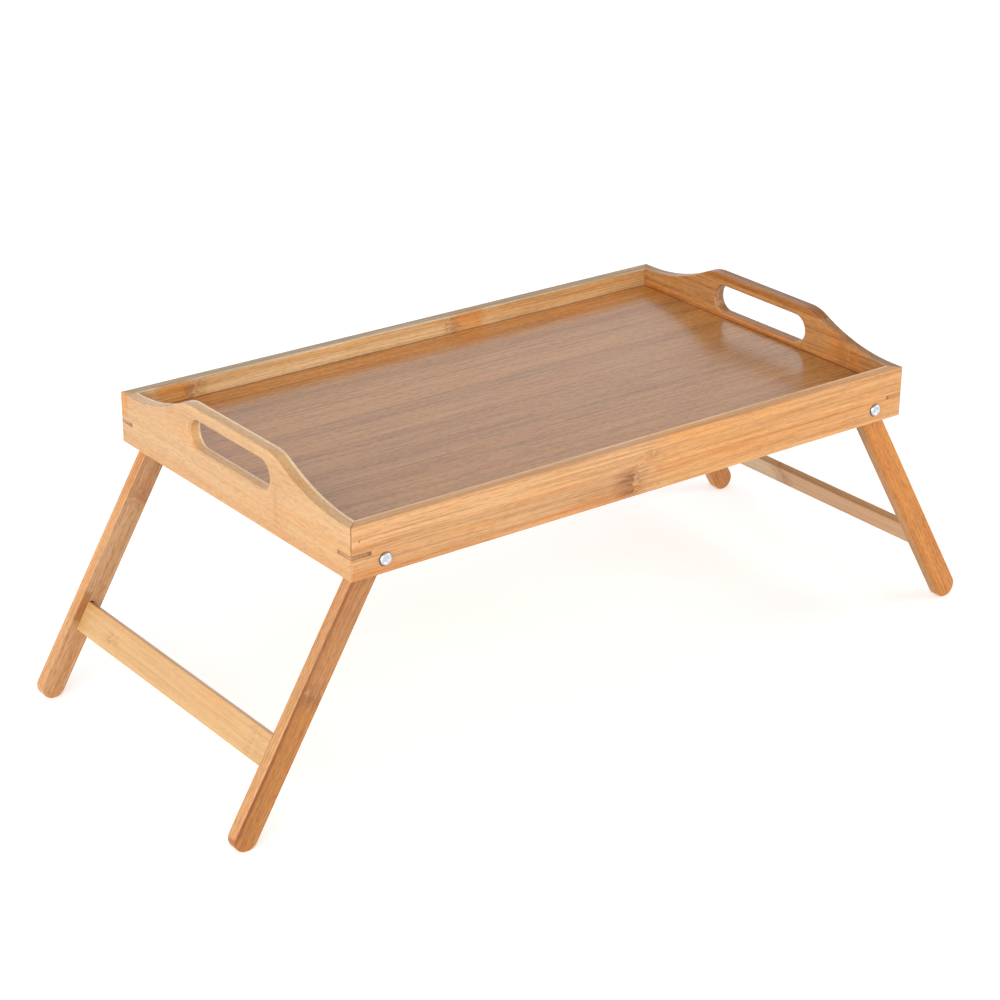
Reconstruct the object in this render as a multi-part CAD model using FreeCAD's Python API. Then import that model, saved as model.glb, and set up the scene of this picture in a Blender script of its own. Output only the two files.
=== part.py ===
import FreeCAD, Part
import math
import os

# Bamboo bed tray on two folding leg frames, standing open.
# Millimetres. X runs along the tray, Y from the front rail to the back rail, Z up.
# The origin is on the surface that the toes stand on, under the middle of the tray.

# Tray frame: two rails and two end panels, mitred at the corners
tray_length = 500.0        # outside, across both end panels
tray_width = 300.0         # outside, across both rails
wall_thickness = 10.0      # rails and end panels
lip_height = 14.0          # rails above the floor field
arris_ease = 1.0           # rounding along the long edges of the walls
corner_ease = 1.5          # rounding of the four upright corners

# Floor panel, held by its tongue in a groove round the four walls
floor_thickness = 4.0
tongue_thickness = 3.0
groove_depth = 5.0
groove_play = 0.1          # above the tongue
tongue_end_gap = 0.5       # tongue to the bottom of the groove, for swelling
field_gap = 0.3            # floor field to the walls

# Handles: the end panels sweep up to a straight crest over a hand slot
slot_sill = 4.0            # floor field to the slot
slot_height = 22.0
slot_length = 104.0
slot_ease = 2.0            # rounding of the slot's rims
grip_depth = 9.5           # wood between the slot and the crest
crest_length = 100.0
shoulder_radius = 35.0     # convex bend at each end of the crest

# Corner keys: thin splines let across each mitre
key_reach = 16.0           # along each outer face, from the corner
key_thickness = 3.0
key_drop = 2.0             # under the floor groove

# Corner brads: one pin through each end of each rail into the end panel
brad_inset = 6.6           # from the end of the tray
brad_drop = 11.0           # under the top of the rail
brad_radius = 0.7
brad_length = 18.0
brad_sink = 0.4            # head under the face of the rail

# Leg frames: two legs with round ends and one crossbar each
leg_width = 19.0
leg_thickness = 9.5
leg_ease = 1.0
pivot_inset = 27.0         # from the end of the tray to the pivot
toe_gap = 8.0              # between the toes of the two frames, both folded
fold_recess = 1.0          # round a folded leg: rail edge below it, floor above it
stop_gap = 0.2             # open leg to the lower edge of the end panel

# Crossbars: flat slats with stub tenons in routed mortises
bar_width = 23.0
bar_thickness = 6.0
bar_inset = 7.0            # outer edge of the leg to the outer face of the bar
bar_lift = 55.5            # toe to the lower edge of the bar
bar_ease = 0.8
tenon_depth = 6.0
tenon_side_shoulder = 0.2
tenon_end_shoulder = 0.5
mortise_side_play = 0.05
mortise_end_gap = 1.0      # beyond the bar, at each end of the mortise
mortise_floor_gap = 0.5

# Pivots: a domed screw from outside in a flanged barrel nut from inside
barrel_radius = 3.0
barrel_setback = 1.5       # end of the barrel inside the rail
rail_bore_play = 0.05
leg_bore_play = 0.08       # running fit of the leg on the barrel
washer_radius = 6.5
washer_thickness = 1.0
washer_play = 0.2
side_play = 0.1            # leg to the washer and to the flange
flange_radius = 5.5
flange_thickness = 1.5
flange_slot_width = 1.2
flange_slot_depth = 0.7
head_radius = 5.0
head_height = 2.0
head_rim = 0.5             # straight edge under the dome
socket_flats = 3.0
socket_depth = 1.2
screw_radius = 2.0
screw_play = 0.05
screw_length = 15.0

# Places that follow from the sizes above
half_length = tray_length / 2
half_width = tray_width / 2
leg_half = leg_width / 2
pivot_rise = leg_half + fold_recess
floor_bottom = pivot_rise + leg_half + fold_recess
floor_top = floor_bottom + floor_thickness
wall_height = floor_top + lip_height
slot_low = floor_top + slot_sill
slot_middle = slot_low + slot_height / 2
crest_height = slot_low + slot_height + grip_depth
leg_reach = half_length - pivot_inset - toe_gap / 2
pivot_x = half_length - pivot_inset

# The open leg leans on the rounded inner lower edge of the end panel.
stop_out = pivot_inset - wall_thickness + arris_ease
stop_down = pivot_rise - arris_ease
stop_reach = math.hypot(stop_out, stop_down)
stop_turn = math.atan2(stop_down, stop_out)
splay = math.acos((leg_half + stop_gap + arris_ease) / stop_reach) - stop_turn

# Heights above the surface under the toes
pivot_z = (leg_reach - leg_half) * math.cos(splay) + leg_half
base_z = pivot_z - pivot_rise

# Distances across the tray, from its middle to the faces of the pivot stack
rail_inner = half_width - wall_thickness
leg_outer = rail_inner - washer_thickness - side_play
leg_inner = leg_outer - leg_thickness
flange_outer = leg_inner - side_play

X_AXIS = FreeCAD.Vector(1, 0, 0)
Y_AXIS = FreeCAD.Vector(0, 1, 0)
Z_AXIS = FreeCAD.Vector(0, 0, 1)
ORIGIN = FreeCAD.Vector(0, 0, 0)


def point(x, y, z):
    return FreeCAD.Vector(x, y, z)


def box(low, high):
    """Box between two opposite corners."""
    size = high.sub(low)
    return Part.makeBox(size.x, size.y, size.z, low)


def prism(corners, travel):
    """Straight-sided face swept along a vector."""
    wire = Part.makePolygon(corners + [corners[0]])
    return Part.Face(wire).extrude(travel)


def rod(radius, start, end):
    """Round rod between two points."""
    run = end.sub(start)
    return Part.makeCylinder(radius, run.Length, start, run)


def arc(start, middle, end):
    return Part.Arc(start, middle, end).toShape()


def straight(start, end):
    return Part.LineSegment(start, end).toShape()


def stadium(length, width, place):
    """Long round-ended face: a slot outline laid out by place(along, across)."""
    run = length / 2 - width / 2
    side = width / 2
    edges = [
        straight(place(-run, side), place(run, side)),
        arc(place(run, side), place(run + side, 0), place(run, -side)),
        straight(place(run, -side), place(-run, -side)),
        arc(place(-run, -side), place(-run - side, 0), place(-run, side)),
    ]
    return Part.Face(Part.Wire(edges))


def turned(shape, degrees):
    """Copy turned about the upright axis through the origin."""
    copy = shape.copy()
    copy.rotate(ORIGIN, Z_AXIS, degrees)
    return copy


def long_edges(shape, axis):
    """Straight edges that run along an axis."""
    found = []
    for edge in shape.Edges:
        run = edge.Vertexes[-1].Point.sub(edge.Vertexes[0].Point)
        if run.Length > 1 and abs(run.dot(axis)) > run.Length * 0.999:
            found.append(edge)
    return found


def frame_block():
    """Solid block of the tray's outside, with its four upright corners eased."""
    low = point(-half_length, -half_width, base_z)
    high = point(half_length, half_width, base_z + crest_height)
    block = box(low, high)
    return block.makeFillet(corner_ease, long_edges(block, Z_AXIS))


def mitre_block(end_x, end_y, along):
    """Plan of one wall between its two mitres, as a tall prism."""
    inner_x = end_x + wall_thickness
    inner_y = end_y + wall_thickness
    if along == "x":
        corners = [(end_x, end_y), (-end_x, end_y), (-inner_x, inner_y), (inner_x, inner_y)]
    else:
        corners = [(end_x, end_y), (inner_x, inner_y), (inner_x, -inner_y), (end_x, -end_y)]
    plan = [point(x, y, base_z) for x, y in corners]
    return prism(plan, point(0, 0, crest_height))


def floor_groove():
    """Space of the groove that runs round all four walls."""
    reach_x = half_length - wall_thickness + groove_depth
    reach_y = half_width - wall_thickness + groove_depth
    low = base_z + floor_bottom
    high = low + tongue_thickness + groove_play
    return box(point(-reach_x, -reach_y, low), point(reach_x, reach_y, high))


def key_solid(side_x, side_y):
    """Triangular spline across one corner, flush with both outer faces."""
    corner_x = side_x * half_length
    corner_y = side_y * half_width
    low = base_z + floor_bottom - key_drop - key_thickness
    plan = [
        point(corner_x, corner_y, low),
        point(corner_x - side_x * key_reach, corner_y, low),
        point(corner_x, corner_y - side_y * key_reach, low),
    ]
    return prism(plan, point(0, 0, key_thickness)).common(frame_block())


def brad_solid(side_x, side_y):
    """Headless pin driven square to the rail, its end just under the face."""
    x = side_x * (half_length - brad_inset)
    z = base_z + wall_height - brad_drop
    outer = half_width - brad_sink
    start = point(x, side_y * outer, z)
    end = point(x, side_y * (outer - brad_length), z)
    return rod(brad_radius, start, end)


def brad_hole(side_x, side_y):
    """Hole of one brad, open to the outer face."""
    pin = brad_solid(side_x, side_y)
    x = side_x * (half_length - brad_inset)
    z = base_z + wall_height - brad_drop
    mouth = rod(brad_radius, point(x, side_y * (half_width - brad_sink), z),
                point(x, side_y * half_width, z))
    return pin.fuse(mouth).removeSplitter()


CORNERS = {
    "front_left": (-1, -1),
    "front_right": (1, -1),
    "back_right": (1, 1),
    "back_left": (-1, 1),
}


def joinery():
    """Everything cut out of the finished walls: groove, key kerfs and brad holes."""
    cuts = [floor_groove()]
    for side_x, side_y in CORNERS.values():
        cuts.append(key_solid(side_x, side_y))
        cuts.append(brad_hole(side_x, side_y))
    return cuts


def front_rail():
    """Rail with eased edges, mitred ends and a bore for each pivot."""
    low = point(-half_length, -half_width, base_z)
    high = point(half_length, -rail_inner, base_z + wall_height)
    bar = box(low, high)
    bar = bar.makeFillet(arris_ease, long_edges(bar, X_AXIS))
    bar = bar.common(mitre_block(-half_length, -half_width, "x")).common(frame_block())
    bore = barrel_radius + rail_bore_play
    for x in (-pivot_x, pivot_x):
        bar = bar.cut(rod(bore, point(x, -half_width, pivot_z), point(x, -rail_inner, pivot_z)))
    return bar.cut(joinery())


def handle_outline():
    """Side view of an end panel at its outer face: flat foot, swept shoulders, straight crest.

    The sweep runs from the inner face of the rail up to the crest in two arcs that meet at
    one slope, a hollow one and the rounded shoulder.
    """
    crest_end = crest_length / 2
    run = rail_inner - crest_end
    rise = crest_height - wall_height
    slope = 2 * math.atan2(rise, run)
    sweep_radius = run / math.sin(slope) - shoulder_radius
    top = base_z + crest_height
    rim = base_z + wall_height

    def shoulder(side, angle):
        y = crest_end + shoulder_radius * math.sin(angle)
        z = top - shoulder_radius * (1 - math.cos(angle))
        return point(-half_length, side * y, z)

    def sweep(side, angle):
        y = rail_inner - sweep_radius * math.sin(angle)
        z = rim + sweep_radius * (1 - math.cos(angle))
        return point(-half_length, side * y, z)

    def corner(side, z):
        return point(-half_length, side * half_width, z)

    edges = [straight(corner(1, base_z), corner(-1, base_z))]
    for side in (-1, 1):
        climb = [
            straight(corner(side, base_z), corner(side, rim)),
            straight(corner(side, rim), sweep(side, 0)),
            arc(sweep(side, 0), sweep(side, slope / 2), sweep(side, slope)),
            arc(shoulder(side, slope), shoulder(side, slope / 2), shoulder(side, 0)),
        ]
        edges += climb
    edges.append(straight(shoulder(-1, 0), shoulder(1, 0)))
    ordered = Part.__sortEdges__(edges)
    return Part.Face(Part.Wire(ordered))


def face_edges(shape, planes, keep):
    """Edges that lie in one of the planes x = value and pass the keep test."""
    found = []
    for edge in shape.Edges:
        bounds = edge.BoundBox
        flat = any(abs(bounds.XMin - x) < 0.01 and abs(bounds.XMax - x) < 0.01 for x in planes)
        if flat and keep(bounds):
            found.append(edge)
    return found


def left_end_panel():
    """End panel with its swept handle, eased edges and hand slot, mitred at both ends."""
    panel = handle_outline().extrude(point(wall_thickness, 0, 0))
    faces = (-half_length, -half_length + wall_thickness)
    rim = base_z + wall_height

    def long_edge(bounds):
        along_top = bounds.ZMin > rim - 0.01
        along_foot = bounds.ZMax < base_z + 0.01
        return along_top or along_foot

    panel = panel.makeFillet(arris_ease, face_edges(panel, faces, long_edge))

    def slot_place(along, across):
        return point(-half_length, along, base_z + slot_middle + across)

    slot = stadium(slot_length, slot_height, slot_place).extrude(point(wall_thickness, 0, 0))
    panel = panel.cut(slot)

    def slot_edge(bounds):
        inside_y = max(abs(bounds.YMin), abs(bounds.YMax)) < slot_length / 2 + 0.01
        inside_z = bounds.ZMin > base_z + slot_low - 0.01
        under_crest = bounds.ZMax < base_z + slot_low + slot_height + 0.01
        return inside_y and inside_z and under_crest

    panel = panel.makeFillet(slot_ease, face_edges(panel, faces, slot_edge))
    panel = panel.common(mitre_block(-half_length, -half_width, "y")).common(frame_block())
    return panel.cut(joinery())


def floor_panel():
    """Varnished panel: the field shows between the walls, the tongue sits in their groove."""
    inner_x = half_length - wall_thickness
    inner_y = half_width - wall_thickness
    low = base_z + floor_bottom
    field = box(point(-inner_x + field_gap, -inner_y + field_gap, low),
                point(inner_x - field_gap, inner_y - field_gap, low + floor_thickness))
    out = groove_depth - tongue_end_gap
    tongue = box(point(-inner_x - out, -inner_y - out, low),
                 point(inner_x + out, inner_y + out, low + tongue_thickness))
    return field.fuse(tongue).removeSplitter()


# Leg frames are drawn hanging straight down from a pivot at the origin, outer edge
# towards -X, and are then swung out to the stop and carried to the left pivots.

def hung_point(side):
    """Place on the broad face of a hanging leg: along runs down it, across outwards."""
    middle = (leg_reach - leg_half) / 2

    def place(along, across):
        return point(-across, side * leg_inner, -middle - along)

    return place


def hung_leg(side):
    """Flat bar with two full-round ends, a pivot bore and a blind mortise."""
    outline = stadium(leg_reach + leg_half, leg_width, hung_point(side))
    leg = outline.extrude(point(0, side * leg_thickness, 0))
    rims = [edge for edge in leg.Edges if edge.BoundBox.YLength < 0.01]
    leg = leg.makeFillet(leg_ease, rims)
    bore = rod(barrel_radius + leg_bore_play, point(0, side * leg_inner, 0),
               point(0, side * leg_outer, 0))
    return leg.cut([bore, mortise(side)])


def bar_middle():
    """Centre of the crossbar's section on a hanging frame."""
    x = -leg_half + bar_inset + bar_thickness / 2
    z = -leg_reach + bar_lift + bar_width / 2
    return x, z


def bar_section(length, width, y):
    """Round-ended section across the bar's middle, at one distance along it."""
    x, z = bar_middle()

    def place(along, across):
        return point(x + across, y, z + along)

    return stadium(length, width, place)


def mortise(side):
    """Routed slot in the inner face of a leg, longer than the bar is wide."""
    length = bar_width + 2 * mortise_end_gap
    width = bar_thickness - 2 * tenon_side_shoulder + 2 * mortise_side_play
    depth = tenon_depth + mortise_floor_gap
    return bar_section(length, width, side * leg_inner).extrude(point(0, side * depth, 0))


def hung_crossbar():
    """Slat between the inner faces of the two legs, with a stub tenon at each end."""
    x, z = bar_middle()
    half_thick = bar_thickness / 2
    half_wide = bar_width / 2
    slat = box(point(x - half_thick, -leg_inner, z - half_wide),
               point(x + half_thick, leg_inner, z + half_wide))
    slat = slat.makeFillet(bar_ease, long_edges(slat, Y_AXIS))
    length = bar_width - 2 * tenon_end_shoulder
    width = bar_thickness - 2 * tenon_side_shoulder
    for side in (-1, 1):
        tenon = bar_section(length, width, side * leg_inner)
        slat = slat.fuse(tenon.extrude(point(0, side * tenon_depth, 0)))
    return slat


def swung_left(shape):
    """Carries a hanging piece to the left pivots and swings it out to the stop."""
    placed = shape.copy()
    placed.rotate(ORIGIN, Y_AXIS, math.degrees(splay))
    placed.translate(point(-pivot_x, 0, pivot_z))
    return placed


# Pivot hardware is drawn for the left front pivot, with its axis along Y.

def pivot_screw():
    """Domed head with a hexagon socket, and a plain shank into the barrel."""
    face = -half_width
    crown = face - head_height
    rim = face - head_rim
    dome = head_height - head_rim
    dome_radius = (head_radius ** 2 + dome ** 2) / (2 * dome)
    half_angle = math.asin(head_radius / dome_radius) / 2
    middle = point(dome_radius * math.sin(half_angle),
                   crown + dome_radius * (1 - math.cos(half_angle)), 0)
    axis_top = point(0, crown, 0)
    axis_foot = point(0, face, 0)
    edges = [
        arc(axis_top, middle, point(head_radius, rim, 0)),
        straight(point(head_radius, rim, 0), point(head_radius, face, 0)),
        straight(point(head_radius, face, 0), axis_foot),
        straight(axis_foot, axis_top),
    ]
    head = Part.Face(Part.Wire(edges)).revolve(ORIGIN, Y_AXIS, 360)
    shank = rod(screw_radius, axis_foot, point(0, face + screw_length, 0))
    corner = socket_flats / math.sqrt(3)
    hexagon = []
    for step in range(6):
        turn = math.radians(60 * step)
        hexagon.append(point(corner * math.cos(turn), crown, corner * math.sin(turn)))
    socket = prism(hexagon, point(0, socket_depth, 0))
    screw = head.fuse(shank).cut(socket)
    screw.translate(point(-pivot_x, 0, pivot_z))
    return screw


def pivot_nut():
    """Barrel that the leg turns on, with a slotted flange against the leg's inner face."""
    inner = -flange_outer + flange_thickness
    barrel = rod(barrel_radius, point(0, -half_width + barrel_setback, 0), point(0, inner, 0))
    flange = rod(flange_radius, point(0, -flange_outer, 0), point(0, inner, 0))
    bore = rod(screw_radius + screw_play, point(0, -half_width, 0),
               point(0, -half_width + screw_length + screw_play, 0))
    slot = box(point(-flange_radius, inner - flange_slot_depth, -flange_slot_width / 2),
               point(flange_radius, inner, flange_slot_width / 2))
    nut = barrel.fuse(flange).cut([bore, slot])
    nut.translate(point(-pivot_x, 0, pivot_z))
    return nut


def pivot_washer():
    """Plain washer that keeps the leg off the rail."""
    inner = point(0, -rail_inner + washer_thickness, 0)
    outer = point(0, -rail_inner, 0)
    ring = rod(washer_radius, outer, inner).cut(rod(barrel_radius + washer_play, outer, inner))
    ring.translate(point(-pivot_x, 0, pivot_z))
    return ring


def mirrored_back(shape):
    """Front hardware reflected to the back rail."""
    return shape.mirror(ORIGIN, Y_AXIS)


def hardware():
    """Screw, barrel nut and washer at each of the four pivots."""
    nodes = {}
    kinds = {"pivot_screw": pivot_screw(), "pivot_nut": pivot_nut(), "pivot_washer": pivot_washer()}
    for kind, shape in kinds.items():
        back = mirrored_back(shape)
        nodes["left_front_" + kind] = shape
        nodes["left_back_" + kind] = back
        nodes["right_back_" + kind] = turned(shape, 180)
        nodes["right_front_" + kind] = turned(back, 180)
    return nodes


def tray():
    """Walls, floor, corner keys and brads."""
    rail = front_rail()
    end = left_end_panel()
    nodes = {
        "front_rail": rail,
        "back_rail": turned(rail, 180),
        "left_end_panel": end,
        "right_end_panel": turned(end, 180),
        "floor_panel": floor_panel(),
    }
    for corner, sides in CORNERS.items():
        nodes["corner_key_" + corner] = key_solid(*sides)
        nodes["corner_brad_" + corner] = brad_solid(*sides)
    return nodes


def leg_frames():
    """Both leg frames, open; the right one is the left one turned half round."""
    front = swung_left(hung_leg(-1))
    back = swung_left(hung_leg(1))
    bar = swung_left(hung_crossbar())
    return {
        "left_front_leg": front,
        "left_back_leg": back,
        "left_crossbar": bar,
        "right_back_leg": turned(front, 180),
        "right_front_leg": turned(back, 180),
        "right_crossbar": turned(bar, 180),
    }


def main():
    nodes = {}
    nodes.update(tray())
    nodes.update(leg_frames())
    nodes.update(hardware())
    os.makedirs("parts", exist_ok=True)
    for name, shape in nodes.items():
        shape.exportStep("parts/" + name + ".step")
    print(len(nodes), "nodes")
    print("open splay", round(math.degrees(splay), 3), "degrees")
    print("pivot height", round(pivot_z, 3), "tray underside", round(base_z, 3))
    print("overall height", round(base_z + crest_height, 3))


main()
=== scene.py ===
import math

import bpy
import numpy as np
from mathutils import Matrix, Vector


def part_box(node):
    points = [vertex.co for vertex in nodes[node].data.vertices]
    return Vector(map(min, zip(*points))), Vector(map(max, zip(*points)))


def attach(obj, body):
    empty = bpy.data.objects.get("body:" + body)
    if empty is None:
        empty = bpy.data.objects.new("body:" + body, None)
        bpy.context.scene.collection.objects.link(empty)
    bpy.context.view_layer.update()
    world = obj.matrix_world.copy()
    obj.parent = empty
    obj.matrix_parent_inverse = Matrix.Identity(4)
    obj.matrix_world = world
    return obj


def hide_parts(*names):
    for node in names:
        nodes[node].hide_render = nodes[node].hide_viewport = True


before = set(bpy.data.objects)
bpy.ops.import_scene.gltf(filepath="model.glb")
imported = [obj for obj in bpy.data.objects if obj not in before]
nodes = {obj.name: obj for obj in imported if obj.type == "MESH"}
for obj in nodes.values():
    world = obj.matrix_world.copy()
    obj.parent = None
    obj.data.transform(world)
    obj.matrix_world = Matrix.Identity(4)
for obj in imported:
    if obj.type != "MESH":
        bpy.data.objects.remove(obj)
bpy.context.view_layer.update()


# ---------------------------------------------------------------------------
# Studio
# A white sweep lit like a light table, in a room of bright low walls, dimmer behind the
# tray, under a dark ceiling, with soft boxes at the front left, low left, right and back.
# ---------------------------------------------------------------------------

# Photograph frame: 1000 x 1000 pixels, seen through a long lens from the front left
frame_pixels = 1000
focal_pixels = 2583.0
sensor_width = 36.0
camera_place = Vector((-1.08935, -1.41474, 0.90682))
camera_yaw = math.radians(37.201)      # from +Y towards +X
camera_pitch = math.radians(-23.765)
camera_roll = math.radians(0.443)

forward = Vector((
    math.sin(camera_yaw) * math.cos(camera_pitch),
    math.cos(camera_yaw) * math.cos(camera_pitch),
    math.sin(camera_pitch),
))
level_right = Vector((math.cos(camera_yaw), -math.sin(camera_yaw), 0))
level_up = level_right.cross(forward)
right = level_right * math.cos(camera_roll) + level_up * math.sin(camera_roll)
up = level_up * math.cos(camera_roll) - level_right * math.sin(camera_roll)

camera = bpy.data.objects.new("camera", bpy.data.cameras.new("camera"))
camera.data.sensor_width = sensor_width
camera.data.lens = sensor_width * focal_pixels / frame_pixels
camera.data.clip_end = 60
turn = Matrix((right, up, -forward)).transposed()
camera.matrix_world = Matrix.Translation(camera_place) @ turn.to_4x4()
bpy.context.scene.collection.objects.link(camera)
bpy.context.scene.camera = camera
bpy.context.scene.view_settings.view_transform = "Standard"


def add(tree, kind, inputs=None, **settings):
    """One shader node: settings are its properties, inputs its sockets by name or number."""
    node = tree.nodes.new(kind)
    for key, value in settings.items():
        setattr(node, key, value)
    for key, value in (inputs or {}).items():
        if isinstance(value, bpy.types.NodeSocket):
            tree.links.new(value, node.inputs[key])
        else:
            node.inputs[key].default_value = value
    return node


tray_middle = Vector((0, 0, 0.14))


def soft_light(name, place, size, watts):
    """Square area light at a place, aimed at the middle of the tray."""
    light = bpy.data.objects.new(name, bpy.data.lights.new(name, "AREA"))
    light.data.size = size
    light.data.energy = watts
    aim = (tray_middle - Vector(place)).to_track_quat("-Z", "Y")
    light.matrix_world = Matrix.Translation(place) @ aim.to_matrix().to_4x4()
    bpy.context.scene.collection.objects.link(light)


soft_light("front_left_softbox", (-2.6, -2.0, 1.5), 1.8, 40)
soft_light("low_left_softbox", (-3.0, -0.6, 0.55), 1.0, 44)
soft_light("right_softbox", (2.8, -1.6, 1.5), 1.4, 20)
soft_light("back_softbox", (-0.4, 2.9, 1.9), 1.4, 14)
soft_light("top_softbox", (0.0, 0.0, 2.6), 2.0, 9)

# Brightness of the room. Heights are sines of the elevation.
wall_glow = 1.25               # in front of the tray and beside it
back_wall_glow = 0.88          # behind it, as the camera sees it
skirting_glow = 1.50           # where the walls meet the sweep
ceiling_glow = 0.07
skirting_edge = (0.12, 0.22)
ceiling_edge = (0.62, 0.80)
back_direction = (0.60, 0.80, 0.0)
back_wall_edge = (-0.1, 0.5)   # cosines of the angle from that direction


def smooth_between(tree, value, edges, start, end):
    """Smooth step of a value between two edges, from start to end, each a number or socket."""
    step = add(tree, "ShaderNodeMapRange", {
        "Value": value, "From Min": edges[0], "From Max": edges[1], "To Min": start, "To Max": end},
        interpolation_type="SMOOTHSTEP")
    return step.outputs["Result"]


world = bpy.data.worlds.new("studio")
bpy.context.scene.world = world
world.use_nodes = True
world.node_tree.nodes.clear()
direction = add(world.node_tree, "ShaderNodeTexCoord").outputs["Generated"]
height = add(world.node_tree, "ShaderNodeSeparateXYZ", {0: direction}).outputs["Z"]
away = add(world.node_tree, "ShaderNodeVectorMath", {0: direction, 1: back_direction},
           operation="DOT_PRODUCT").outputs["Value"]
walls = smooth_between(world.node_tree, away, back_wall_edge, wall_glow, back_wall_glow)
room = smooth_between(world.node_tree, height, skirting_edge, skirting_glow, walls)
glow = smooth_between(world.node_tree, height, ceiling_edge, room, ceiling_glow)
sky = add(world.node_tree, "ShaderNodeBackground", {"Color": (1, 1, 1, 1), "Strength": glow})
add(world.node_tree, "ShaderNodeOutputWorld", {"Surface": sky.outputs[0]})

# The sheet of white under the tray glows a little, as on a light table, and more beyond
# the reach of the soft boxes, so that it stays white to its far edge
floor_reach = 30.0
floor_white = 0.86
floor_glow = 0.33
far_floor_glow = 0.62
glow_change = (1.6, 4.5)               # metres from the tray

corners = [(-floor_reach, -floor_reach, 0), (floor_reach, -floor_reach, 0),
           (floor_reach, floor_reach, 0), (-floor_reach, floor_reach, 0)]
floor_mesh = bpy.data.meshes.new("studio_floor")
floor_mesh.from_pydata(corners, [], [(0, 1, 2, 3)])
studio_floor = bpy.data.objects.new("studio_floor", floor_mesh)
bpy.context.scene.collection.objects.link(studio_floor)
paper = bpy.data.materials.new("white_paper")
paper.use_nodes = True
paper_shader = paper.node_tree.nodes["Principled BSDF"]
paper_shader.inputs["Base Color"].default_value = (floor_white, floor_white, floor_white, 1)
paper_shader.inputs["Roughness"].default_value = 0.9
paper_shader.inputs["Specular IOR Level"].default_value = 0.0
paper_shader.inputs["Emission Color"].default_value = (1, 1, 1, 1)
spot = add(paper.node_tree, "ShaderNodeTexCoord").outputs["Object"]
distance = add(paper.node_tree, "ShaderNodeVectorMath", {0: spot},
               operation="LENGTH").outputs["Value"]
table_glow = smooth_between(paper.node_tree, distance, glow_change, floor_glow, far_floor_glow)
paper.node_tree.links.new(table_glow, paper_shader.inputs["Emission Strength"])
floor_mesh.materials.append(paper)


# ---------------------------------------------------------------------------
# Front and back rail
# Laminated bamboo strips, planed to 10 mm, mitred and lacquered satin. The strips
# carry knuckles, where brown fibres brush out on one side and fan out on the other.
# ---------------------------------------------------------------------------

def calc(tree, operation, *values):
    """Result of one math step on sockets or numbers."""
    inputs = {place: value for place, value in enumerate(values)}
    return add(tree, "ShaderNodeMath", inputs, operation=operation).outputs[0]


def product(tree, *values):
    """All the values multiplied together."""
    result = values[0]
    for value in values[1:]:
        result = calc(tree, "MULTIPLY", result, value)
    return result


def strongest(tree, *values):
    """The greatest of the values."""
    result = values[0]
    for value in values[1:]:
        result = calc(tree, "MAXIMUM", result, value)
    return result


def ramp(tree, value, low, high, start=0.0, end=1.0):
    """Smooth step of a value: start below low, end above high."""
    return smooth_between(tree, value, (low, high), start, end)


def between(tree, value, low, high, soft):
    """1 from low to high, falling to 0 over soft on both sides."""
    rise = ramp(tree, value, low - soft, low + soft)
    fall = ramp(tree, value, high - soft, high + soft, 1.0, 0.0)
    return calc(tree, "MULTIPLY", rise, fall)


def mixed(tree, share, first, second, blend="MIX"):
    """Two colours mixed: share 0 gives the first."""
    node = add(tree, "ShaderNodeMix", {0: share, 6: first, 7: second},
               data_type="RGBA", blend_type=blend)
    return node.outputs[2]


def piece_frame(tree, centre, grain, width):
    """Place on a piece in metres: X along its grain, Y through it, Z across its width."""
    grain = Vector(grain).normalized()
    width = Vector(width).normalized()
    axes = Matrix((grain, width.cross(grain), width)).transposed()
    place = add(tree, "ShaderNodeTexCoord").outputs["Object"]
    local = add(tree, "ShaderNodeMapping", {
        "Vector": place, "Location": centre, "Rotation": axes.to_euler()}, vector_type="TEXTURE")
    return local.outputs[0]


def fibres(tree, local, seed, per_metre, detail=3.0, rough=0.6):
    """Noise drawn out along the grain: per_metre is its scale (along, through, across)."""
    shifted = add(tree, "ShaderNodeVectorMath", {0: local, 1: (seed, seed * 0.37, seed * 0.71)})
    stretched = add(tree, "ShaderNodeVectorMath", {0: shifted.outputs[0], 1: per_metre},
                    operation="MULTIPLY")
    noise = add(tree, "ShaderNodeTexNoise", {
        "Vector": stretched.outputs[0], "Scale": 1.0, "Detail": detail, "Roughness": rough})
    return noise.outputs["Fac"]


wander_scale = (5, 14, 14)             # per metre along, through and across


def wavy(tree, local, seed, sway):
    """Grain that wanders: the place across it moves by up to half of sway, slowly along it."""
    drift = calc(tree, "SUBTRACT", fibres(tree, local, seed, wander_scale, 2), 0.5)
    shift = add(tree, "ShaderNodeCombineXYZ", {"Z": calc(tree, "MULTIPLY", drift, sway)})
    return add(tree, "ShaderNodeVectorMath", {0: local, 1: shift.outputs[0]}).outputs[0]


brush_brown = (0.235, 0.082, 0.021, 1)
fan_pale = (0.62, 0.37, 0.17, 1)

# Noise scales of a knuckle, per metre along, through and across the grain
stir_scale = (170, 240, 240)
brush_scale = (22, 400, 400)
tuft_scale = (14, 190, 190)
pit_scale = (420, 480, 480)
speck_scale = (300, 560, 560)

# Its marks in metres from the row of pits, positive on the side of the brown fibres
stir_along = 0.0085
stir_across = 0.0040
row_bow = 0.0015
wash_start = (-0.0040, 0.0036)
brush_start = (-0.0022, 0.0)
pit_row = (-0.0008, 0.0008, 0.0006)          # from, to, softness
far_pit_row = (-0.0068, -0.0052, 0.0009)
fan_span = (-0.0125, -0.0030, 0.0030)
speck_span = (-0.0085, 0.0085, 0.0050)
pale_span = (-0.0050, -0.0012, 0.0010)


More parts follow.
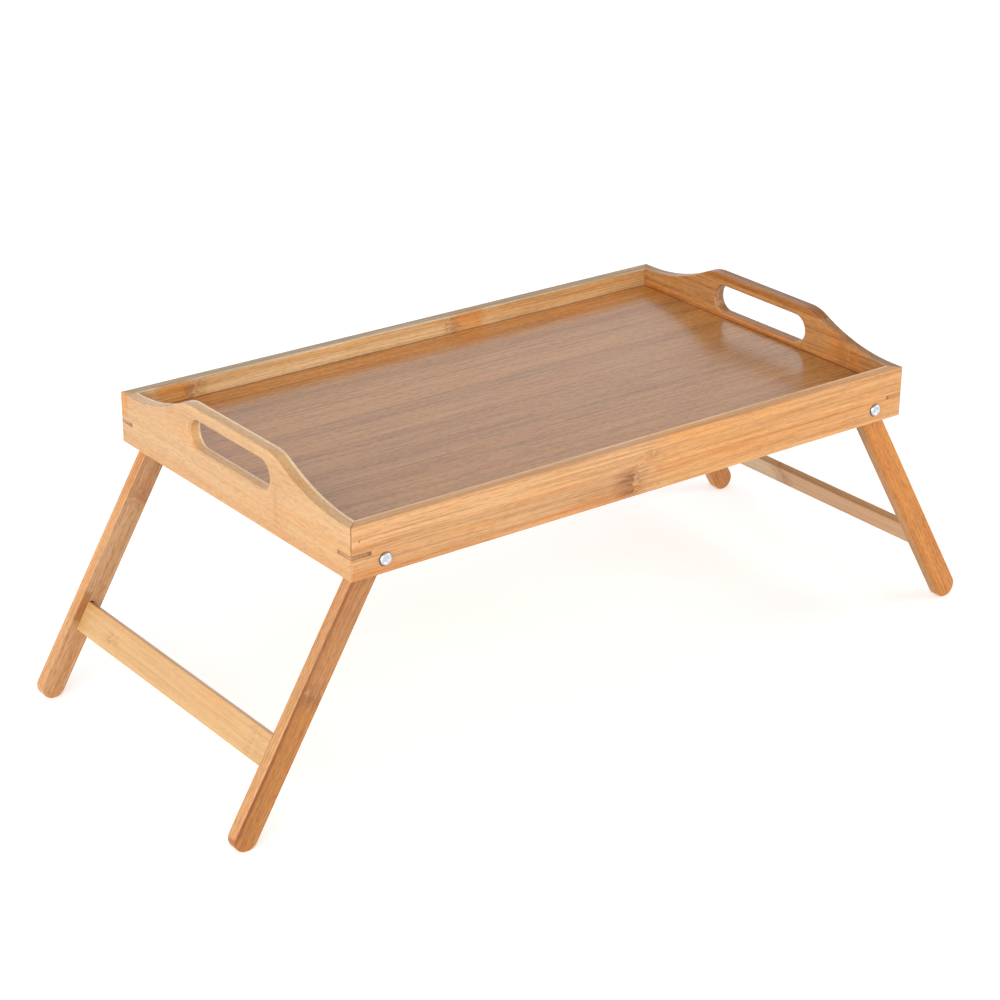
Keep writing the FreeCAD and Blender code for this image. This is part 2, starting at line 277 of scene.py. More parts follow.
def knuckle(tree, local, colour, spot):
    """One bamboo knuckle laid over a colour.

    spot is its place along the grain, the low and high side of its strip, its strength, the
    side of the brown fibres and their length. A brown wash with darker threads runs out on
    that side, each as far as a noise drawn out along the grain lets it. Two rows of pits
    mark the knuckle itself, in a sprinkle of specks, with pale wood between them, and faint
    arcs fan out beyond.
    """
    middle_along, low, high, strength, side, length = spot
    apart = add(tree, "ShaderNodeSeparateXYZ", {0: local})
    from_middle = calc(tree, "SUBTRACT", apart.outputs["Z"], (low + high) / 2)
    offset = calc(tree, "DIVIDE", from_middle, (high - low) / 2)
    seed = middle_along * 31 + low * 57
    stir = calc(tree, "SUBTRACT", fibres(tree, local, seed + 2.1, stir_scale, 2), 0.5)
    shift = add(tree, "ShaderNodeCombineXYZ", {
        "X": calc(tree, "MULTIPLY", stir, stir_along),
        "Z": calc(tree, "MULTIPLY", stir, stir_across)})
    stirred = add(tree, "ShaderNodeVectorMath", {0: local, 1: shift.outputs[0]}).outputs[0]
    threads = fibres(tree, stirred, seed, brush_scale, 1.5, 0.5)
    tufts = fibres(tree, local, seed + 1.3, tuft_scale, 2, 0.6)
    grains = fibres(tree, stirred, seed + 0.6, pit_scale, 1.5, 0.5)
    crumbs = fibres(tree, stirred, seed + 0.9, speck_scale, 1.5, 0.5)
    along = add(tree, "ShaderNodeSeparateXYZ", {0: stirred}).outputs["X"]
    bow = product(tree, offset, offset, row_bow * side)
    gap = calc(tree, "ADD", calc(tree, "SUBTRACT", along, middle_along), bow)
    gap = calc(tree, "MULTIPLY", gap, side)
    frayed = calc(tree, "MULTIPLY_ADD", calc(tree, "SUBTRACT", tufts, 0.5), 0.9,
                  calc(tree, "ABSOLUTE", offset))
    inside = ramp(tree, frayed, 0.72, 1.08, 1.0, 0.0)
    reach = calc(tree, "MULTIPLY", ramp(tree, tufts, 0.3, 0.7, 0.45, 1.15), length)
    spent = calc(tree, "DIVIDE", gap, reach)
    wash = product(tree, ramp(tree, gap, *wash_start), ramp(tree, spent, 0.25, 1.0, 1.0, 0.0), 0.56)
    brush = product(tree, ramp(tree, threads, 0.49, 0.56), ramp(tree, gap, *brush_start),
                    ramp(tree, spent, 0.15, 0.90, 1.0, 0.0))
    rows = strongest(tree, between(tree, gap, *pit_row),
                     product(tree, between(tree, gap, *far_pit_row), 0.45))
    pits = product(tree, rows, ramp(tree, grains, 0.46, 0.56), 0.95)
    arcs = product(tree, ramp(tree, threads, 0.51, 0.58), between(tree, gap, *fan_span), 0.30)
    specks = product(tree, ramp(tree, crumbs, 0.50, 0.57), between(tree, gap, *speck_span), 0.80)
    dark = strongest(tree, wash, brush, pits, specks, arcs)
    pale = product(tree, between(tree, gap, *pale_span), ramp(tree, grains, 0.40, 0.50, 0.34, 0.0))
    colour = mixed(tree, product(tree, pale, inside, strength), colour, fan_pale)
    return mixed(tree, product(tree, dark, inside, strength), colour, brush_brown)


rail_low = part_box("front_rail")[0]
panel_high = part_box("right_end_panel")[1]
base_z = rail_low.z
pivot_low, pivot_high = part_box("left_front_pivot_screw")
pivot_x = -(pivot_low.x + pivot_high.x) / 2
pivot_z = (pivot_low.z + pivot_high.z) / 2

seam_brown = (0.16, 0.065, 0.022, 1)
seam_reach = (0.0002, 0.0009)          # half the width of its dark core, and half of it all
key_top = (0.014, 0.024)               # heights over the underside where the seam darkens
seam_inset = (0.003, 0.009)            # depths under the outer faces where it fades


def mitre_seam(tree, colour):
    """Brown glue line where two walls meet: the plane equally far inside both outer faces.

    It is dark over the key, where the joint has opened a little, faint under it, and hardly
    shows in the inner corner.
    """
    place = add(tree, "ShaderNodeTexCoord").outputs["Object"]
    apart = add(tree, "ShaderNodeSeparateXYZ", {0: place})
    inset_x = calc(tree, "SUBTRACT", panel_high.x, calc(tree, "ABSOLUTE", apart.outputs["X"]))
    inset_y = calc(tree, "SUBTRACT", -rail_low.y, calc(tree, "ABSOLUTE", apart.outputs["Y"]))
    gap = calc(tree, "ABSOLUTE", calc(tree, "SUBTRACT", inset_x, inset_y))
    line = ramp(tree, gap, *seam_reach, 1.0, 0.0)
    strength = ramp(tree, apart.outputs["Z"], base_z + key_top[0], base_z + key_top[1], 0.22, 0.85)
    outer = ramp(tree, inset_x, *seam_inset, 1.0, 0.25)
    return mixed(tree, product(tree, line, strength, outer), colour, seam_brown)


# Painted shade in the gap under each screw head: a dark ring, a touch off centre
head_shade_brown = (0.07, 0.035, 0.018, 1)
head_shade_radii = (0.0047, 0.0054)           # radii
head_shade_shift_x = 0.0004
head_shade_shift_z = 0.0001


def from_axis(tree, across, up):
    """Distance from an axis, by Pythagoras from the two distances beside it and above it."""
    squares = calc(tree, "MULTIPLY_ADD", across, across, calc(tree, "MULTIPLY", up, up))
    return calc(tree, "SQRT", squares)


def painted_head_shade(tree, colour):
    """Painted shade: a dark ring round the screw head, where the gap under it lies in shadow, set a
    touch off centre so it shows on one side.
    """
    place = add(tree, "ShaderNodeTexCoord").outputs["Object"]
    apart = add(tree, "ShaderNodeSeparateXYZ", {0: place})
    moved = calc(tree, "ABSOLUTE", calc(tree, "ADD", apart.outputs["X"], head_shade_shift_x))
    beside = calc(tree, "SUBTRACT", moved, pivot_x)
    above = calc(tree, "SUBTRACT", apart.outputs["Z"], pivot_z - head_shade_shift_z)
    rim = ramp(tree, from_axis(tree, beside, above), *head_shade_radii, 0.85, 0.0)
    return mixed(tree, rim, colour, head_shade_brown)


# Noise scales of the grain, per metre along and across it
band_scale = (1.3, 80)
streak_scale = (2.6, 330)
bundle_scale = (13, 600)
fleck_scale = (170, 900)
blush_scale = (11, 75)
blush_tint = (1.03, 0.94, 0.80, 1)
relief_depth = 0.00015                 # of the grain under the lacquer
lacquer_ior = 1.46


def bamboo(name, centre, grain, width, tones, seed, patches=(), knuckles=(), streak=1.0,
           fleck=0.35, fineness=1.0, sway=0.004, face=(-1, 1), extras=()):
    """Lacquered bamboo for one piece.

    tones are its pale, middle and deep colours. Slow bands mix the first two. Streaks, fibre
    bundles and short flecks, each a noise drawn out along a wandering grain, bring in the
    deep one, and the pale one between them. Some places blush orange. patches are (along
    from, to, across from, to, softness, tint), multiplied in. face is the span through the
    piece that patches and knuckles hold on. extras are functions that lay one more mark
    over the colour.
    """
    pale, middle, deep = tones
    material = bpy.data.materials.new(name)
    material.use_nodes = True
    tree = material.node_tree
    shader = tree.nodes["Principled BSDF"]
    straight = piece_frame(tree, centre, grain, width)
    local = wavy(tree, straight, seed + 2.2, sway)

    def grain_noise(shift, scale, detail, rough):
        """Noise along the wandering grain, finer across it by fineness."""
        along, across = scale
        across *= fineness
        return fibres(tree, local, seed + shift, (along, across, across), detail, rough)

    bands = grain_noise(3.1, band_scale, 3, 0.55)
    streaks = grain_noise(1.7, streak_scale, 4, 0.68)
    bundles = grain_noise(4.4, bundle_scale, 2, 0.6)
    flecks = grain_noise(5.3, fleck_scale, 2, 0.6)
    blush = grain_noise(6.8, blush_scale, 2, 0.5)
    colour = mixed(tree, ramp(tree, bands, 0.36, 0.66), middle, pale)
    colour = mixed(tree, ramp(tree, streaks, 0.48, 0.72, 0.0, 0.55 * streak), colour, deep)
    colour = mixed(tree, ramp(tree, bundles, 0.49, 0.64, 0.0, 0.44 * streak), colour, deep)
    colour = mixed(tree, ramp(tree, bundles, 0.36, 0.49, 0.36 * streak, 0.0), colour, pale)
    colour = mixed(tree, ramp(tree, flecks, 0.49, 0.66, 0.0, 0.40 * fleck), colour, deep)
    colour = mixed(tree, ramp(tree, flecks, 0.34, 0.50, 0.34 * fleck, 0.0), colour, pale)
    orange = mixed(tree, 1.0, colour, blush_tint, "MULTIPLY")
    colour = mixed(tree, ramp(tree, blush, 0.48, 0.70), colour, orange)
    apart = add(tree, "ShaderNodeSeparateXYZ", {0: local})
    on_face = between(tree, apart.outputs["Y"], *face, 0.0003)
    for along_from, along_to, across_from, across_to, soft, tint in patches:
        soft_side = min(soft, 0.0008)
        share = product(tree, on_face,
                        between(tree, apart.outputs["X"], along_from, along_to, soft),
                        between(tree, apart.outputs["Z"], across_from, across_to, soft_side))
        toned = mixed(tree, 1.0, colour, tint, "MULTIPLY")
        colour = mixed(tree, share, colour, toned)
    for spot in knuckles:
        colour = mixed(tree, on_face, colour, knuckle(tree, straight, colour, spot))
    for lay_over in extras:
        colour = lay_over(tree, colour)
    tree.links.new(colour, shader.inputs["Base Color"])
    tree.links.new(ramp(tree, streaks, 0.3, 0.8, 0.32, 0.44), shader.inputs["Roughness"])
    relief = calc(tree, "MULTIPLY_ADD", streaks, 0.6, calc(tree, "MULTIPLY", flecks, 0.4))
    bump = add(tree, "ShaderNodeBump", {
        "Height": relief, "Strength": 0.35, "Distance": relief_depth})
    tree.links.new(bump.outputs[0], shader.inputs["Normal"])
    shader.inputs["IOR"].default_value = lacquer_ior
    return material


# Painted highlight along the inner arris of the walls, and painted light and shade on their tops
arris_highlight_tint = (1.28, 1.56, 2.10, 1)
arris_highlight_span = (0.00025, 0.0026, 0.0002)  # depths from the inner face, and softness
outer_round = 0.0009


def painted_edge_light(axis, inner_face, thickness, top_shading_tint, top_tint_start=0.0004, highlight_share=1.0):
    """Painted light on a wall: a pale painted highlight along its rounded inner arris, and a
    tint on its top and underside, painted light on some walls and painted shade on others.

    Both go by the distance from the inner face, so they hold along the swept handle too.
    The painted tint on the top comes in at its start depth, and the share says how bright the
    painted highlight is.
    """
    def lay_over(tree, colour):
        place = add(tree, "ShaderNodeTexCoord").outputs["Object"]
        across = add(tree, "ShaderNodeSeparateXYZ", {0: place}).outputs[axis]
        depth = calc(tree, "SUBTRACT", calc(tree, "ABSOLUTE", across), inner_face)
        top_tinted = between(tree, depth, top_tint_start, thickness - outer_round, 0.0003)
        colour = mixed(tree, top_tinted, colour, mixed(tree, 1.0, colour, top_shading_tint, "MULTIPLY"))
        highlighted = calc(tree, "MULTIPLY", between(tree, depth, *arris_highlight_span), highlight_share)
        return mixed(tree, highlighted, colour, mixed(tree, 1.0, colour, arris_highlight_tint, "MULTIPLY"))
    return lay_over


def dress(piece, material):
    """Gives a frame node its finish."""
    piece.data.materials.clear()
    piece.data.materials.append(material)


wall_thickness = 0.010
rail_inner = -rail_low.y - wall_thickness
rail_tones = ((0.575, 0.325, 0.146, 1), (0.475, 0.240, 0.095, 1), (0.335, 0.145, 0.046, 1))
back_tones = ((0.76, 0.510, 0.268, 1), (0.640, 0.398, 0.185, 1), (0.40, 0.200, 0.073, 1))

# Strips are told apart by tint; the right half of the front rail is the more orange one
front_bamboo = bamboo(
    "front_rail_bamboo", (0, -0.145, base_z), (1, 0, 0), (0, 0, 1), rail_tones, 0.0,
    streak=1.18, fleck=0.8, fineness=1.25, sway=0.003,
    patches=[(-0.26, 0.0, 0.0215, 0.045, 0.002, (1.09, 1.07, 1.05, 1)),
             (-0.26, -0.005, -0.01, 0.0065, 0.003, (1.0, 0.90, 0.76, 1)),
             (-0.066, -0.0135, 0.0020, 0.0225, 0.012, (0.93, 0.86, 0.80, 1)),
             (0.008, 0.26, -0.01, 0.045, 0.02, (1.10, 1.00, 0.80, 1)),
             (0.008, 0.26, 0.0125, 0.0195, 0.003, (0.98, 0.90, 0.80, 1))],
    knuckles=[(-0.0130, 0.0010, 0.0230, 1.0, -1, 0.030),
              (0.0030, 0.0240, 0.0330, 0.34, -1, 0.003)],
    extras=(painted_edge_light("Y", rail_inner, wall_thickness, (1, 1, 1, 1)), mitre_seam, painted_head_shade))
back_bamboo = bamboo(
    "back_rail_bamboo", (0, 0.145, base_z), (1, 0, 0), (0, 0, 1), back_tones, 4.0,
    streak=1.3, fleck=0.9, fineness=1.6, face=(-0.01, -0.0015),
    patches=[(-0.26, 0.26, 0.031, 0.045, 0.002, (0.97, 0.94, 0.90, 1)),
             (-0.225, -0.199, 0.02, 0.045, 0.004, (0.97, 0.72, 0.46, 1)),
             (0.046, 0.072, 0.02, 0.045, 0.005, (0.95, 0.72, 0.50, 1)),
             (0.080, 0.26, -0.01, 0.045, 0.03, (0.93, 0.84, 0.74, 1))],
    knuckles=[(-0.1955, 0.020, 0.039, 0.60, -1, 0.010), (0.042, 0.020, 0.039, 0.60, 1, 0.012)],
    extras=(painted_edge_light("Y", rail_inner, wall_thickness, (0.54, 0.60, 0.69, 1)),
            mitre_seam, painted_head_shade))
dress(nodes["front_rail"], front_bamboo)
dress(nodes["back_rail"], back_bamboo)


# ---------------------------------------------------------------------------
# End panels
# Wider laminated boards, band-sawn to the swept handle, slotted for the hand with a
# router and rounded over by the same bit, then sanded and lacquered.
# ---------------------------------------------------------------------------

panel_inner = panel_high.x - wall_thickness
left_tones = ((0.47, 0.282, 0.128, 1), (0.415, 0.230, 0.095, 1), (0.310, 0.148, 0.051, 1))
right_tones = ((0.45, 0.225, 0.080, 1), (0.345, 0.150, 0.042, 1), (0.23, 0.082, 0.018, 1))
left_panel_bamboo = bamboo(
    "left_end_bamboo", (-0.245, 0, base_z), (0, 1, 0), (0, 0, 1), left_tones, 9.0,
    # The stretch at the back corner is painted a deeper orange: painted shade where the rounded
    # corner turns from the light
    patches=[(0.1395, 0.16, 0.022, 0.07, 0.0012, (1.0, 0.80, 0.52, 1)),
             (-0.16, 0.16, -0.01, 0.008, 0.004, (1.0, 0.93, 0.84, 1))],
    knuckles=[(-0.060, 0.004, 0.044, 0.26, 1, 0.006)], streak=0.5, fleck=1.3, fineness=1.3,
    extras=(painted_edge_light("X", panel_inner, wall_thickness, (1.30, 1.32, 1.42, 1)), mitre_seam))
right_panel_bamboo = bamboo(
    "right_end_bamboo", (0.245, 0, base_z), (0, 1, 0), (0, 0, 1), right_tones, 13.0,
    patches=[(-0.16, 0.16, 0.0552, 0.08, 0.0003, (0.80, 0.64, 0.42, 1)),
             (-0.16, 0.16, 0.022, 0.0292, 0.001, (1.14, 0.95, 0.72, 1)),
             (-0.118, -0.080, 0.030, 0.055, 0.010, (1.10, 0.90, 0.66, 1))],
    knuckles=[(-0.098, 0.026, 0.052, 0.5, 1, 0.014)], streak=1.35, fleck=1.0,
    # Its top is painted darker from 3.8 mm in from the inner face, painted shade over the rounded
    # inner arris, with no painted highlight
    extras=(painted_edge_light("X", panel_inner, wall_thickness, (0.74, 0.80, 0.92, 1),
                       top_tint_start=0.0038, highlight_share=0.0), mitre_seam))
dress(nodes["left_end_panel"], left_panel_bamboo)
dress(nodes["right_end_panel"], right_panel_bamboo)


# ---------------------------------------------------------------------------
# Floor panel
# Veneered bamboo board, stained a shade deeper and flow-coated with gloss varnish, and
# painted dark where the board meets the walls, as painted shade in the groove.
# ---------------------------------------------------------------------------

floor_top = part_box("floor_panel")[1].z
strip_width = 0.0203
strip_shift = 0.0017
field_inset = 0.0103                   # from the outer faces to the field, just inside the walls
groove_shade_reach = (0.0004, 0.0022)           # from the walls, of the painted shade in the groove
groove_shade_brown = (0.055, 0.018, 0.005, 1)


def veneer_strips(tree, colour):
    """Strips of veneer side by side, each of its own shade, darker towards one edge."""
    place = add(tree, "ShaderNodeTexCoord").outputs["Object"]
    across = add(tree, "ShaderNodeSeparateXYZ", {0: place}).outputs["Y"]
    count = calc(tree, "DIVIDE", calc(tree, "ADD", across, strip_shift), strip_width)
    number = calc(tree, "FLOOR", count)
    shade = add(tree, "ShaderNodeTexWhiteNoise", {"W": number},
                noise_dimensions="1D").outputs["Value"]
    slope = calc(tree, "SUBTRACT", count, number)
    light = calc(tree, "MULTIPLY_ADD", shade, 0.16, 0.88)
    light = calc(tree, "ADD", light, ramp(tree, slope, 0.0, 1.0, 0.05, -0.03))
    light = calc(tree, "ADD", light, ramp(tree, slope, 0.93, 1.0, 0.0, -0.12))
    veil = add(tree, "ShaderNodeCombineColor", {"Red": light, "Green": light, "Blue": light})
    return mixed(tree, 1.0, colour, veil.outputs[0], "MULTIPLY")


floor_tones = ((0.482, 0.217, 0.058, 1), (0.400, 0.164, 0.034, 1), (0.240, 0.088, 0.016, 1))
floor_bamboo = bamboo(
    "floor_bamboo", (0, 0, floor_top), (1, 0, 0), (0, 1, 0), floor_tones, 21.0,
    # The band along the back rail is painted lighter and warmer: a painted reflection of the back
    # rail in the varnish
    patches=[(-0.26, 0.26, 0.112, 0.16, 0.016, (1.16, 1.06, 0.90, 1))],
    streak=1.35, fleck=1.4, fineness=0.85, sway=0.003, extras=(veneer_strips,))
floor_tree = floor_bamboo.node_tree
floor_shader = floor_tree.nodes["Principled BSDF"]
floor_place = add(floor_tree, "ShaderNodeSeparateXYZ", {
    0: add(floor_tree, "ShaderNodeTexCoord").outputs["Object"]})
edge_x = calc(floor_tree, "SUBTRACT", panel_high.x - field_inset,
              calc(floor_tree, "ABSOLUTE", floor_place.outputs["X"]))
edge_y = calc(floor_tree, "SUBTRACT", -rail_low.y - field_inset,
              calc(floor_tree, "ABSOLUTE", floor_place.outputs["Y"]))
edge = calc(floor_tree, "MINIMUM", edge_x, edge_y)
bare_colour = floor_shader.inputs["Base Color"].links[0].from_socket
# Painted shade: dark brown in the groove where the floor meets the walls
groove_shaded = mixed(floor_tree, ramp(floor_tree, edge, *groove_shade_reach, 0.85, 0.0), bare_colour, groove_shade_brown)
floor_tree.links.new(groove_shaded, floor_shader.inputs["Base Color"])
floor_shader.inputs["Specular IOR Level"].default_value = 0.15
floor_shader.inputs["Coat Weight"].default_value = 1.0
floor_shader.inputs["Coat Roughness"].default_value = 0.20
floor_shader.inputs["Coat IOR"].default_value = 1.5
dress(nodes["floor_panel"], floor_bamboo)


# ---------------------------------------------------------------------------
# Corner keys and brads
# Carbonised bamboo splines glued across the mitres and sanded flush, and headless
# wire pins driven through the ends of the rails.
# ---------------------------------------------------------------------------

key_tones = ((0.30, 0.155, 0.068), (0.25, 0.120, 0.050), (0.15, 0.064, 0.025))
key_tints = {"front_left": (1.30, 1.30, 1.35), "front_right": (1.65, 1.72, 1.60),
             "back_right": (1.50, 1.50, 1.50), "back_left": (1.15, 1.15, 1.20)}
burnt = (0.58, 0.52, 0.47, 1)          # edges and ends of a key, browned by the saw
clean_cut = (0.90, 0.86, 0.82, 1)
key_rims = {"front_left": burnt, "front_right": clean_cut, "back_right": burnt, "back_left": burnt}
key_rim_width = 0.0005
key_half_length = 0.0095               # to where its ends turn brown
key_turns = {"front_left": 1, "front_right": -1, "back_right": 1, "back_left": -1}
key_seed = 30.0
for corner, tint in key_tints.items():
    low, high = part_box("corner_key_" + corner)
    half = (high.z - low.z) / 2
    tones = [[*(np.array(tone) * tint), 1] for tone in key_tones]
    rim = key_rims[corner]
    key_bamboo = bamboo(
        "key_bamboo_" + corner, (low + high) / 2, (1, -key_turns[corner], 0), (0, 0, 1),
        tones, key_seed,
        patches=[(-0.05, 0.05, half - key_rim_width, half + 0.001, 0.0003, rim),
                 (-0.05, 0.05, -half - 0.001, -half + key_rim_width, 0.0003, rim),
                 (-0.05, -key_half_length, -0.01, 0.01, 0.0012, burnt),
                 (key_half_length, 0.05, -0.01, 0.01, 0.0012, burnt)])
    dress(nodes["corner_key_" + corner], key_bamboo)


brad_speckle = 2400                    # per metre


def brad_finish(name, colour, dark, metallic):
    """Speckled head of a brad: bare wire, or wire under a dab of wax in the wood's colour."""
    material = bpy.data.materials.new(name)
    material.use_nodes = True
    tree = material.node_tree
    shader = tree.nodes["Principled BSDF"]
    place = add(tree, "ShaderNodeTexCoord").outputs["Object"]
    speckle = fibres(tree, place, 3.0, (brad_speckle, brad_speckle, brad_speckle), 2)
    speckled = mixed(tree, ramp(tree, speckle, 0.35, 0.65), colour, dark)
    tree.links.new(speckled, shader.inputs["Base Color"])
    shader.inputs["Metallic"].default_value = metallic
    shader.inputs["Roughness"].default_value = 0.5
    return material


bare_wire = brad_finish("brad_wire", (0.26, 0.17, 0.11, 1), (0.14, 0.075, 0.035, 1), 0.3)
waxed_wire = brad_finish("waxed_brad", (0.50, 0.26, 0.10, 1), (0.38, 0.18, 0.06, 1), 0.0)
dress(nodes["corner_brad_front_left"], bare_wire)
for corner in ("front_right", "back_right", "back_left"):
    dress(nodes["corner_brad_" + corner], waxed_wire)


# ---------------------------------------------------------------------------
# Legs
# Solid bamboo bars with full-round ends, edges eased by a quarter-round bit. They are
# cut from darker culms than the tray, the right pair from the most orange.
# ---------------------------------------------------------------------------

splay = math.radians(30.459)
leg_tones = ((0.45, 0.210, 0.078), (0.385, 0.160, 0.050), (0.26, 0.092, 0.022))
leg_tints = {"left_front": (0.97, 0.97, 0.92), "left_back": (1.04, 1.30, 1.75),
             "right_front": (1.25, 1.05, 0.43), "right_back": (1.04, 0.96, 0.66)}

# Patches as in bamboo, from the leg's middle towards the toe, and from its outer edge inwards
leg_patches = {
    # The outer narrow face of this leg is painted paler and greyer: painted light
    "left_front": [(0.004, 0.12, -0.0092, 0.02, 0.012, (0.96, 0.84, 0.50, 1)),
                   (-0.12, 0.12, -0.0090, -0.0066, 0.0006, (0.72, 0.62, 0.47, 1)),
                   (-0.12, 0.12, -0.02, -0.0092, 0.0006, (1.12, 1.28, 1.45, 1))],
    # This leg is painted darker beside the crossbar's mortise: painted shade
    "left_back": [(-0.12, -0.049, -0.02, 0.02, 0.006, (0.94, 0.86, 0.76, 1)),
                  (0.029, 0.052, -0.0090, -0.0026, 0.002, (0.80, 0.60, 0.38, 1)),
                  (0.056, 0.12, -0.0090, 0.02, 0.010, (1.03, 0.93, 0.80, 1)),
                  (-0.12, 0.12, -0.02, -0.0092, 0.0006, (1.13, 0.95, 0.63, 1))],
    "right_front": [(-0.12, 0.12, 0.0066, 0.0090, 0.0006, (0.86, 0.78, 0.68, 1)),
                    (-0.12, 0.12, 0.0092, 0.02, 0.0006, (0.50, 0.63, 0.69, 1))]}
leg_knuckles = {
    "left_front": [(0.001, -0.0095, 0.0095, 0.85, 1, 0.012)],
    "left_back": [(-0.049, -0.0095, 0.0095, 0.48, -1, 0.010)],
    "right_front": [(0.030, -0.0095, 0.0095, 0.22, 1, 0.012)],
    "right_back": [(-0.015, -0.0095, 0.0095, 0.30, -1, 0.012)]}
leg_streaks = {"left_front": 1.4, "left_back": 0.95, "right_front": 1.25, "right_back": 1.4}
leg_seed = 40.0
for side, sign in (("left", -1), ("right", 1)):
    down = (sign * math.sin(splay), 0, -math.cos(splay))
    inward = (-sign * math.cos(splay), 0, -math.sin(splay))
    for end in ("front", "back"):
        name = side + "_" + end + "_leg"
        low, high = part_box(name)
        leg_seed += 3.3
        leg = side + "_" + end
        tones = [[*(np.array(tone) * leg_tints[leg]), 1] for tone in leg_tones]
        leg_bamboo = bamboo(name + "_bamboo", (low + high) / 2, down, inward, tones, leg_seed,
                            patches=leg_patches.get(leg, ()), knuckles=leg_knuckles[leg],
                            streak=leg_streaks[leg], fleck=1.6, fineness=1.6, sway=0.002)
        dress(nodes[name], leg_bamboo)


# ---------------------------------------------------------------------------
# Crossbars
# Thin slats, lighter than the legs, glued into routed mortises.
# ---------------------------------------------------------------------------

bar_tones = ((0.50, 0.305, 0.134), (0.44, 0.250, 0.100), (0.33, 0.162, 0.055))
bar_tints = {"left": (1.04, 1.05, 1.05), "right": (0.82, 0.76, 0.74)}
# The back stretch of the right bar is painted paler and greyer: a painted highlight of glare on its
# inner face
bar_patches = {"left": (), "right": [(0.030, 0.13, -0.02, 0.02, 0.008, (1.10, 1.32, 1.65, 1))]}
bar_knuckles = {
    "left": [(-0.105, -0.0115, 0.0115, 0.22, 1, 0.006), (0.087, -0.0030, 0.0060, 0.40, 1, 0.006)],
    "right": [(0.022, -0.0115, 0.0115, 0.85, -1, 0.012)]}
bar_seed = 60.0
for side, sign in (("left", -1), ("right", 1)):
    down = (sign * math.sin(splay), 0, -math.cos(splay))
    low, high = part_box(side + "_crossbar")
    tones = [[*(np.array(tone) * bar_tints[side]), 1] for tone in bar_tones]
    bar_bamboo = bamboo(side + "_bar_bamboo", (low + high) / 2, (0, 1, 0), down, tones,
                        bar_seed + sign, patches=bar_patches[side], knuckles=bar_knuckles[side],
                        streak=0.8, fleck=0.6)
    dress(nodes[side + "_crossbar"], bar_bamboo)


# ---------------------------------------------------------------------------
# Pivot screws
# Nickel-plated machine screws driven from outside: a domed head with a dished hexagon
# socket, a plain neck through the rail and a rolled thread that bites in the barrel nut.
# ---------------------------------------------------------------------------

ring_spacing = 0.00022
ring_depth = 0.00002
cloud_scale = 700                      # per metre


def bright_metal(name, colour, rough):
    """Plated steel with turned rings about the pivot: a sine of the distance from its axis."""
    material = bpy.data.materials.new(name)
    material.use_nodes = True
    tree = material.node_tree
    shader = tree.nodes["Principled BSDF"]
    place = add(tree, "ShaderNodeTexCoord").outputs["Object"]
    apart = add(tree, "ShaderNodeSeparateXYZ", {0: place})
    beside = calc(tree, "SUBTRACT", calc(tree, "ABSOLUTE", apart.outputs["X"]), pivot_x)
    above = calc(tree, "SUBTRACT", apart.outputs["Z"], pivot_z)
    turns = calc(tree, "MULTIPLY", from_axis(tree, beside, above), 2 * math.pi / ring_spacing)
    rings = calc(tree, "SINE", turns)
    cloud = fibres(tree, place, 5.0, (cloud_scale, cloud_scale, cloud_scale), 3)
    dull = [tone * 0.90 for tone in colour[:3]] + [1]
    clouded = mixed(tree, ramp(tree, cloud, 0.35, 0.65), colour, dull)
    tree.links.new(clouded, shader.inputs["Base Color"])
    tree.links.new(ramp(tree, cloud, 0.3, 0.7, rough, rough + 0.10), shader.inputs["Roughness"])
    bump = add(tree, "ShaderNodeBump", {
        "Height": rings, "Strength": 0.12, "Distance": ring_depth})
    tree.links.new(bump.outputs[0], shader.inputs["Normal"])
    shader.inputs["Metallic"].default_value = 1.0
    return material


def closed_skin(name, rings):
    """Mesh object over rings (row, column, xyz), closed round and at a pole in each end row."""
    rows, columns, _ = rings.shape
    start_pole = rings[0].mean(0)[None]
    end_pole = rings[-1].mean(0)[None]
    points = np.concatenate([start_pole, rings.reshape(-1, 3), end_pole])
    row, column = np.meshgrid(np.arange(rows - 1), np.arange(columns), indexing="ij")
    after = (column + 1) % columns
    first = 1 + row * columns
    quads = np.stack([first + column, first + after, first + columns + after,
                      first + columns + column], -1).reshape(-1, 4)
    around = np.arange(columns)
    following = (around + 1) % columns
    last = 1 + (rows - 1) * columns
    start_cap = np.stack([np.zeros_like(around), 1 + following, 1 + around], -1)
    end_cap = np.stack([last + around, last + following,
                        np.full_like(around, len(points) - 1)], -1)
    faces = quads.tolist() + start_cap.tolist() + end_cap.tolist()
    mesh = bpy.data.meshes.new(name)
    mesh.from_pydata(points.tolist(), [], faces)
    mesh.shade_smooth()
    mesh.set_sharp_from_angle(angle=math.radians(32))
    piece = bpy.data.objects.new(name, mesh)
    bpy.context.scene.collection.objects.link(piece)
    return piece


head_radius = 0.0045
head_height = 0.0020
head_rim = 0.0005
dish_radius = 0.0029
socket_flats = 0.0030
socket_floor = 0.0008            # height of the socket's floor over the rail
socket_rim = 0.0014
shank_radius = 0.00195
thread_depth = 0.00022
thread_pitch = 0.0007
thread_start = -0.0050           # heights below the head are negative
shank_end = -0.0150
columns = 72
around = np.linspace(0, 2 * math.pi, columns, endpoint=False)


def plain(radius):
    """One ring of the same radius all round."""
    return np.full(columns, radius)


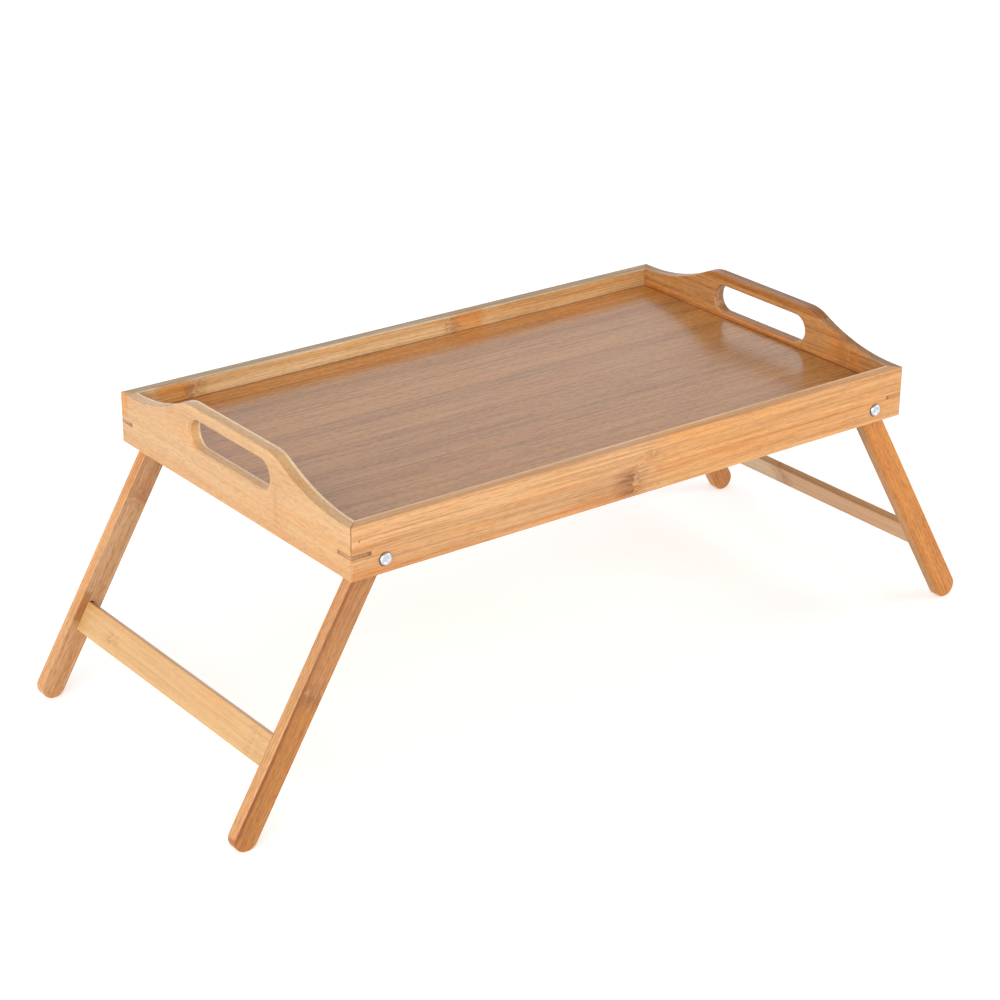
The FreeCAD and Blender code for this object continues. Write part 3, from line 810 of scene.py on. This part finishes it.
def screw_rings(twist):
    """Radius and height of the screw's skin, each (row, column).

    Rows run from the tip up the thread, whose radius falls by a triangle wave of height over
    pitch less the angle, out under the head, over its quarter-ellipse dome and down a cone
    into a hexagon, whose radius is half the flats over the cosine of the angle to a flat.
    """
    thread_height = np.arange(shank_end + 0.0004, thread_start, thread_pitch / 8)
    phase = (thread_height[:, None] / thread_pitch - around[None] / (2 * math.pi)) % 1
    thread = shank_radius - thread_depth * (1 - np.abs(2 * phase - 1))
    lift = np.linspace(0, math.pi / 2, 9)[1:]
    dome_radius = dish_radius + (head_radius - dish_radius) * np.cos(lift)
    dome_height = head_rim + (head_height - head_rim) * np.sin(lift)
    to_flat = (around + twist + math.pi / 6) % (math.pi / 3) - math.pi / 6
    hexagon = socket_flats / 2 / np.cos(to_flat)
    rows = [(plain(shank_radius - 2 * thread_depth), shank_end)]
    rows += [(radius, level) for radius, level in zip(thread, thread_height)]
    rows += [(plain(radius), level) for radius, level in (
        (shank_radius, thread_start), (shank_radius, -0.0001), (shank_radius + 0.0001, 0.0),
        (head_radius - 0.0002, 0.0), (head_radius, 0.00015), (head_radius, head_rim))]
    rows += [(plain(radius), level) for radius, level in zip(dome_radius, dome_height)]
    rows += [(plain(dish_radius - 0.0002), head_height - 0.00012),
             (hexagon + 0.0003, socket_rim + 0.00008), (hexagon, socket_rim),
             (hexagon, socket_floor), (hexagon * 0.5, socket_floor - 0.0001)]
    radii = np.stack([row[0] for row in rows])
    heights = np.stack([np.full(columns, row[1]) for row in rows])
    return radii, heights


nickel = bright_metal("nickel_plate", (0.64, 0.67, 0.73, 1), 0.24)
for side, sign in (("left", -1), ("right", 1)):
    for end, outward in (("front", -1), ("back", 1)):
        name = side + "_" + end + "_pivot_screw"
        low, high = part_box(name)
        face_y = low.y + head_height if outward < 0 else high.y - head_height
        radii, heights = screw_rings(0.4 * sign + 0.9 * outward)
        screw_mesh = np.stack([
            sign * pivot_x - outward * radii * np.cos(around),
            face_y + outward * heights,
            pivot_z + radii * np.sin(around)], -1)
        screw = closed_skin(side + "_" + end + "_screw", screw_mesh)
        screw.data.materials.append(nickel)
        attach(screw, "tray")
        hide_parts(name)


# ---------------------------------------------------------------------------
# Barrel nuts and washers
# Turned steel, plated as the screws are: the leg runs on the nut's barrel, and the
# washer keeps it off the rail.
# ---------------------------------------------------------------------------

turned_steel = bright_metal("turned_steel", (0.48, 0.49, 0.52, 1), 0.26)
for side in ("left", "right"):
    for end in ("front", "back"):
        for part in ("nut", "washer"):
            dress(nodes[side + "_" + end + "_pivot_" + part], turned_steel)
